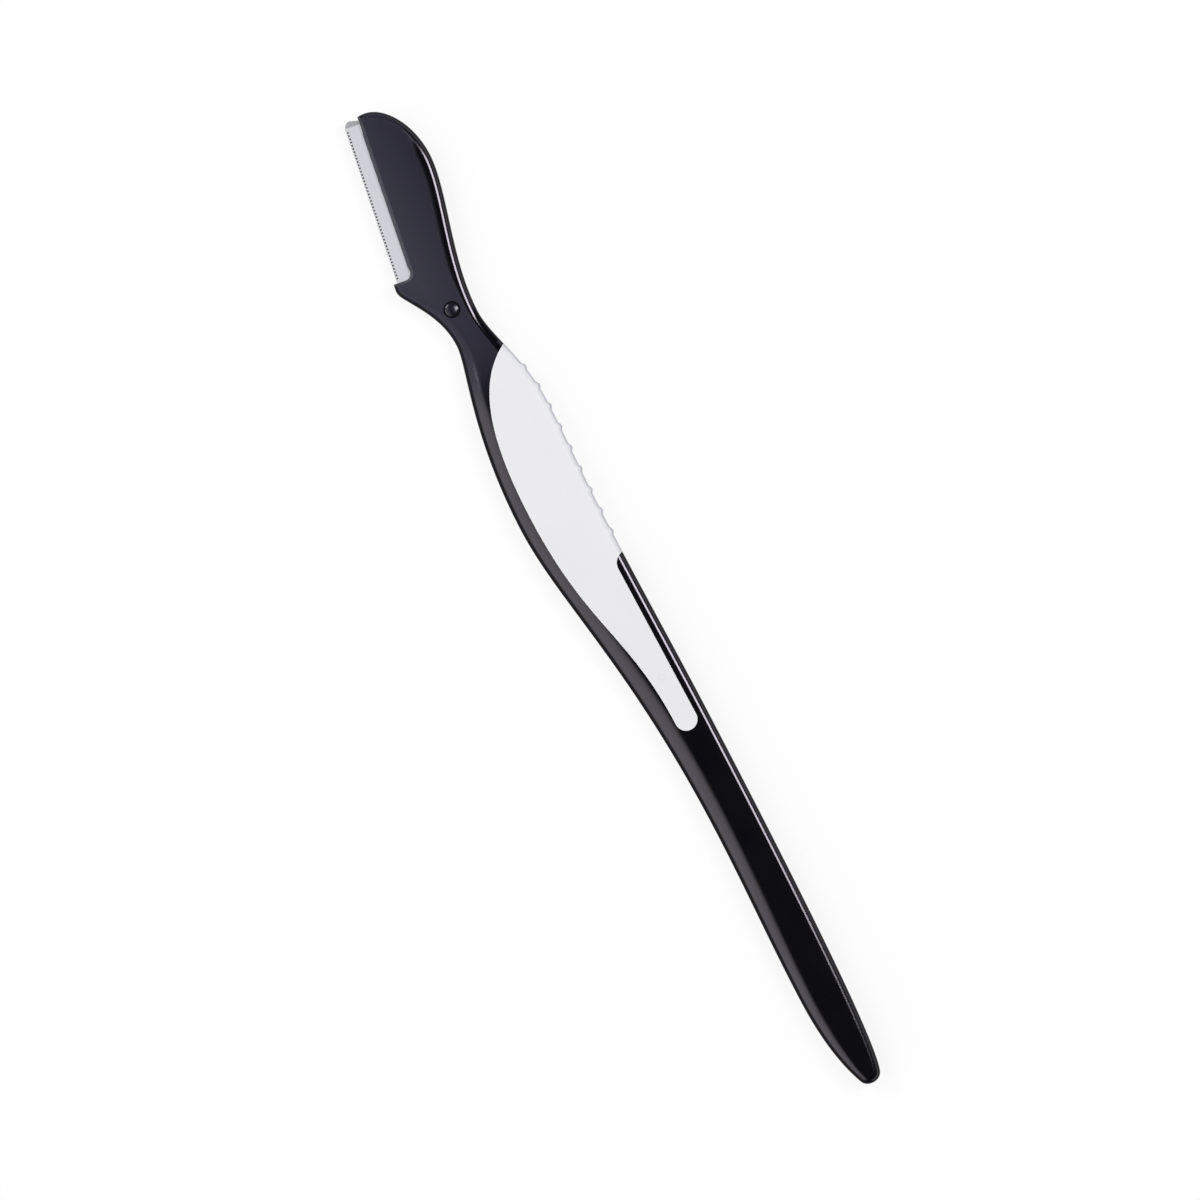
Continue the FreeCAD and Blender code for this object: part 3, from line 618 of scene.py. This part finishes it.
shine = add(tree, "ShaderNodeMapRange", {0: rim.outputs[0], 1: DULL_TO, 2: SHINY_FROM, 3: 0.1, 4: 1.0},
            interpolation_type="SMOOTHSTEP")
face_gloss = add(tree, "ShaderNodeMix", {0: grained.outputs[0], 2: 0.5, 3: 0.15})
gloss = add(tree, "ShaderNodeMath", {0: face_gloss.outputs[0], 1: shine.outputs[0]}, operation="MULTIPLY")
grain = add(tree, "ShaderNodeTexNoise",
            {"Vector": place.outputs["Object"], "Scale": 1 / GRAIN, "Detail": 2.0})
wave = add(tree, "ShaderNodeTexNoise",
           {"Vector": place.outputs["Object"], "Scale": 1 / WAVE, "Detail": 1.0})
# Painted light and shade: the grained grey runs from #1d1d2b on the spine side to #31313d on the blade side.
matt = add(tree, "ShaderNodeMix", {0: across.outputs[0], 6: colour("#1d1d2b"), 7: colour("#31313d")},
           data_type="RGBA")
shade = add(tree, "ShaderNodeMix", {0: grained.outputs[0], 6: colour("#09090f"), 7: matt.outputs[2]},
            data_type="RGBA")
polish = add(tree, "ShaderNodeMapRange", {0: wave.outputs[0], 3: 0.10, 4: 0.16})
rough = add(tree, "ShaderNodeMix", {0: grained.outputs[0], 2: polish.outputs[0], 3: 0.37})
relief = add(tree, "ShaderNodeMath", {0: grain.outputs[0], 1: grained.outputs[0]}, operation="MULTIPLY")
bump = add(tree, "ShaderNodeBump", {"Height": relief.outputs[0], "Strength": 0.6, "Distance": 0.02 * MM})
surface = add(tree, "ShaderNodeBsdfPrincipled", {
    "Base Color": shade.outputs[2], "Roughness": rough.outputs[0], "IOR": 1.59,
    "Specular IOR Level": gloss.outputs[0], "Specular Tint": colour("#f6efff"), "Normal": bump.outputs[0]})
add(tree, "ShaderNodeOutputMaterial", {0: surface.outputs[0]})
dress(handle, black)
dress(stud, black)

# %% [markdown]
# The grip is white thermoplastic rubber, moulded over the handle. It has a soft satin skin,
# slightly cool, with a very fine grain and faint clouding from the flow of the melt.
# Its outline is painted a shade greyer, as painted shade where its rounded edges turn away from the light,
# and the melt's inlet has left a faint round mark near the tip of the tongue.

# %% White rubber
CLOUD, RUBBER_GRAIN = 9 * MM, 0.35 * MM  # the grain is drawn coarser than a real one, so that it shows
# Painted shade: the rubber is painted greyer near its outline, where its rounded edges turn away from the
# light.
EDGE_SHADE_TO, SKIN_FROM = 0.05, 0.4
INLET = (along_x(66.7), -1.55 * MM, 2 * MIDDLE * MM)
INLET_RADIUS, INLET_LINE = 0.45 * MM, 0.14 * MM

white, tree = new_material("white_rubber_overmoulded")
place = add(tree, "ShaderNodeTexCoord")
cloud = add(tree, "ShaderNodeTexNoise",
            {"Vector": place.outputs["Object"], "Scale": 1 / CLOUD, "Detail": 2.0})
grain = add(tree, "ShaderNodeTexNoise",
            {"Vector": place.outputs["Object"], "Scale": 1 / RUBBER_GRAIN, "Detail": 2.0})
shade = add(tree, "ShaderNodeMix", {0: cloud.outputs[0], 6: colour("#dfdfe4"), 7: colour("#e6e6ea")},
            data_type="RGBA")
rim = add(tree, "ShaderNodeSeparateXYZ", {0: add(tree, "ShaderNodeUVMap", uv_map="rim").outputs[0]})
painted_edge_shade = add(tree, "ShaderNodeMapRange", {0: rim.outputs[0], 1: EDGE_SHADE_TO, 2: SKIN_FROM, 3: 1.0, 4: 0.0},
              interpolation_type="SMOOTHSTEP")
edge_shaded = add(tree, "ShaderNodeMix", {0: painted_edge_shade.outputs[0], 6: shade.outputs[2], 7: colour("#b4b4bf")},
            data_type="RGBA")
away = add(tree, "ShaderNodeVectorMath", {0: place.outputs["Object"], 1: INLET}, operation="DISTANCE")
ring = add(tree, "ShaderNodeMath", {0: away.outputs["Value"], 1: INLET_RADIUS, 2: INLET_LINE},
           operation="COMPARE")
marked = add(tree, "ShaderNodeMix", {0: ring.outputs[0], 6: edge_shaded.outputs[2], 7: colour("#dedee3")},
             data_type="RGBA")
rough = add(tree, "ShaderNodeMapRange", {0: grain.outputs[0], 3: 0.42, 4: 0.55})
bump = add(tree, "ShaderNodeBump", {"Height": grain.outputs[0], "Strength": 0.3, "Distance": 0.01 * MM})
surface = add(tree, "ShaderNodeBsdfPrincipled", {
    "Base Color": marked.outputs[2], "Roughness": rough.outputs[0], "IOR": 1.49, "Normal": bump.outputs[0]})
add(tree, "ShaderNodeOutputMaterial", {0: surface.outputs[0]})
dress(grip, white)

# %% [markdown]
# The guard is rolled stainless foil with a blasted, pale satin face. The rolling leaves faint streaks
# along the edge, so its pattern is stretched along the cutting edge.
# The blade behind it is stainless strip with its scratches across the edge. Its last 0.6 mm is honed
# to a mirror, which shows the dark ceiling in each slot of the guard; its colour there is also painted
# darker, as painted shade in the slots.

# %% Steel
def steel(name, tint, other, rough_range, along, across, honed):
    """Stainless steel with streaks of a length along and across the edge, in millimetres.

    The honed values bound its mirror: how far it runs along the edge, and how far it reaches from it."""
    material, tree = new_material(name)
    place = add(tree, "ShaderNodeTexCoord")
    foot = (along_x(WINDOW[0]), WINDOW[1] * MM, 0)
    lay = add(tree, "ShaderNodeMapping", {0: place.outputs["Object"], 1: foot, 2: (0, 0, -BLADE_ANGLE),
                                          3: (MM, MM, MM)}, vector_type="TEXTURE")
    grit = add(tree, "ShaderNodeVectorMath", {0: lay.outputs[0], 1: (along, across, 1)}, operation="DIVIDE")
    streak = add(tree, "ShaderNodeTexNoise", {"Vector": grit.outputs[0], "Scale": 1.0, "Detail": 3.0})
    edge = add(tree, "ShaderNodeSeparateXYZ", {0: lay.outputs[0]})
    near = add(tree, "ShaderNodeMath", {0: edge.outputs[1], 1: -honed[1]}, operation="GREATER_THAN")
    before = add(tree, "ShaderNodeMath", {0: edge.outputs[0], 1: honed[0]}, operation="LESS_THAN")
    hone_and_slot_shade = add(tree, "ShaderNodeMath", {0: near.outputs[0], 1: before.outputs[0]}, operation="MULTIPLY")
    streaked = add(tree, "ShaderNodeMix", {0: streak.outputs[0], 6: colour(tint), 7: colour(other)},
                   data_type="RGBA")
    # The honed strip's dark colour is partly painted shade for the slots of the guard.
    shade = add(tree, "ShaderNodeMix", {0: hone_and_slot_shade.outputs[0], 6: streaked.outputs[2], 7: colour("#606066")},
                data_type="RGBA")
    satin = add(tree, "ShaderNodeMapRange", {0: streak.outputs[0], 3: rough_range[0], 4: rough_range[1]})
    rough = add(tree, "ShaderNodeMix", {0: hone_and_slot_shade.outputs[0], 2: satin.outputs[0], 3: 0.12})
    bump = add(tree, "ShaderNodeBump", {"Height": streak.outputs[0], "Strength": 0.2, "Distance": 0.005 * MM})
    surface = add(tree, "ShaderNodeBsdfPrincipled", {
        "Base Color": shade.outputs[2], "Metallic": 1.0, "Roughness": rough.outputs[0],
        "Normal": bump.outputs[0]})
    add(tree, "ShaderNodeOutputMaterial", {0: surface.outputs[0]})
    return material


dress(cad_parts["edge_guard"],
      steel("stainless_foil_blasted", "#c3c3ca", "#cfcfd5", rough_range=(0.52, 0.62),
            along=4.0, across=0.25, honed=(0, 0)))
dress(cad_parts["blade"],
      steel("stainless_strip_honed", "#98999d", "#a8a9ad", rough_range=(0.5, 0.6),
            along=0.2, across=3.0, honed=(23.8, 0.6)))

# %% [markdown]
# The clamp is drawn as a plain black acetal moulding behind the blade, with a dull grained skin.

# %% Black acetal
ACETAL_GRAIN = 0.4 * MM  # drawn coarser than a real one, so that it shows

acetal, tree = new_material("black_acetal_moulded")
place = add(tree, "ShaderNodeTexCoord")
grain = add(tree, "ShaderNodeTexNoise",
            {"Vector": place.outputs["Object"], "Scale": 1 / ACETAL_GRAIN, "Detail": 2.0})
rough = add(tree, "ShaderNodeMapRange", {0: grain.outputs[0], 3: 0.45, 4: 0.6})
bump = add(tree, "ShaderNodeBump", {"Height": grain.outputs[0], "Strength": 0.4, "Distance": 0.015 * MM})
shade = add(tree, "ShaderNodeMix", {0: grain.outputs[0], 6: colour("#131318"), 7: colour("#1b1b21")},
            data_type="RGBA")
surface = add(tree, "ShaderNodeBsdfPrincipled", {
    "Base Color": shade.outputs[2], "Roughness": rough.outputs[0], "IOR": 1.48, "Normal": bump.outputs[0]})
add(tree, "ShaderNodeOutputMaterial", {0: surface.outputs[0]})
dress(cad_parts["blade_clamp"], acetal)

# %% [markdown]
# The floor is plain white paper. To the camera and in reflections most of it is a plain glow, so that it
# looks as white as paper in even light, and the matt rest still takes the razor's soft shadow.

# %% Floor
FLOOR_HALF = 2  # metres
GLOW_SHARE = 0.86
floor_corners = FLOOR_HALF * np.array([(-1, -1, 0), (1, -1, 0), (1, 1, 0), (-1, 1, 0)], float)
floor = mesh_from("floor", floor_corners, [(0, 1, 2, 3)])
paper, tree = new_material("white_paper")
matt = add(tree, "ShaderNodeBsdfDiffuse", {0: colour("#fafafa")})
glow = add(tree, "ShaderNodeEmission", {0: (1, 1, 1, 1), 1: 1.0})
ray = add(tree, "ShaderNodeLightPath")
plain_or_mirrored = add(tree, "ShaderNodeMath",
                        {0: ray.outputs["Is Camera Ray"], 1: ray.outputs["Is Glossy Ray"]}, operation="ADD")
seen = add(tree, "ShaderNodeMath",
           {0: plain_or_mirrored.outputs[0], 1: ray.outputs["Is Transmission Ray"]}, operation="ADD")
glowing = add(tree, "ShaderNodeMath", {0: seen.outputs[0], 1: GLOW_SHARE},
              operation="MULTIPLY", use_clamp=True)
surface = add(tree, "ShaderNodeMixShader", {0: glowing.outputs[0], 1: matt.outputs[0], 2: glow.outputs[0]})
add(tree, "ShaderNodeOutputMaterial", {0: surface.outputs[0]})
dress(floor, paper)

# %% [markdown]
# The room has a pale wall on the spine side, a bright screen before a dim wall on the blade side, and
# a dark ceiling. The flat black faces mirror the ceiling and stay black, the bevel along the belly
# mirrors the screen, and the rounded spine mirrors the wall behind it and a lamp.

# %% Room
SCREEN_WAY = (0, 0.819, 0.574)  # a unit direction
SCREEN_EDGE, SCREEN_LIGHT = 0.62, 1.65  # cosine of the angle to its middle, radiance there
WALL_TOP, CEILING = 0.25, 0.75  # upward parts of a direction
SPINE_WALL, BLADE_WALL, WALL_TURN = 0.9, 0.15, 0.3  # two radiances, sideways part of a direction

scene = bpy.context.scene
scene.view_settings.view_transform = "Standard"
room = bpy.data.worlds.new("room")
scene.world = room
room.use_nodes = True
tree = room.node_tree
tree.nodes.clear()
way = add(tree, "ShaderNodeTexCoord")
up = add(tree, "ShaderNodeSeparateXYZ", {0: way.outputs["Generated"]})
level = add(tree, "ShaderNodeMapRange",
            {0: up.outputs[1], 1: -WALL_TURN, 2: WALL_TURN, 3: SPINE_WALL, 4: BLADE_WALL})
wall = add(tree, "ShaderNodeMapRange",
           {0: up.outputs[2], 1: WALL_TOP, 2: CEILING, 3: level.outputs[0], 4: 0.0},
           interpolation_type="SMOOTHSTEP")
facing = add(tree, "ShaderNodeVectorMath", {0: way.outputs["Generated"], 1: SCREEN_WAY},
             operation="DOT_PRODUCT")
screen = add(tree, "ShaderNodeMapRange",
             {0: facing.outputs["Value"], 1: SCREEN_EDGE, 2: 1.0, 3: 0.0, 4: SCREEN_LIGHT},
             interpolation_type="SMOOTHSTEP")
both = add(tree, "ShaderNodeMath", {0: screen.outputs[0], 1: wall.outputs[0]}, operation="ADD")
light = add(tree, "ShaderNodeBackground", {0: (1, 1, 1, 1), 1: both.outputs[0]})
add(tree, "ShaderNodeOutputWorld", {0: light.outputs[0]})
print("room nodes", len(tree.nodes))

# %% [markdown]
# Two lamps do the rest. A soft box stands high on the spine side: its reflection is the thin bright
# line along the spine. Another stands beyond the head, on the blade side, where no polished edge
# mirrors it: it lights the guard, which the head's lip would otherwise shade.

# %% Lamps
def soft_box(name, place, size, radiance):
    """Rectangular lamp aimed at the middle of the handle; its power follows from its radiance and area."""
    data = bpy.data.lights.new(name, "AREA")
    data.shape, data.size, data.size_y = "RECTANGLE", size[0], size[1]
    data.energy = radiance * math.pi * size[0] * size[1]
    lamp = bpy.data.objects.new(name, data)
    scene.collection.objects.link(lamp)
    lamp.location = place
    lamp.rotation_euler = lamp.location.to_track_quat("Z", "Y").to_euler()
    lamp.visible_camera = False
    print(name, round(data.energy, 2), "W")


soft_box("spine_lamp", place=(0.019, -0.507, 1.087), size=(0.258, 0.5), radiance=15.8)
soft_box("head_lamp", place=(0.72, 0.37, 0.92), size=(0.4, 0.4), radiance=8)

# %% [markdown]
# The camera looks straight down through a long lens, turned so that the head points up and to the left.
# Its focal length follows from the width that fills the frame, measured at the height of the head's face.

# %% Camera
HEIGHT, FIELD = 1.5, 0.1752  # metres
SENSOR = 36  # millimetres
FRAME_MIDDLE, FRAME_TURN = (0.00096, 0.001245), math.radians(-117.55)

camera_data = bpy.data.cameras.new("camera")
camera = bpy.data.objects.new("camera", camera_data)
scene.collection.objects.link(camera)
camera.location = (*FRAME_MIDDLE, HEIGHT)
camera.rotation_euler = (0, 0, FRAME_TURN)
camera_data.sensor_width = SENSOR
camera_data.lens = SENSOR * (HEIGHT - head_front * MM) / FIELD
camera_data.clip_end = 20
scene.camera = camera
print("lens", round(camera_data.lens, 1), "mm")
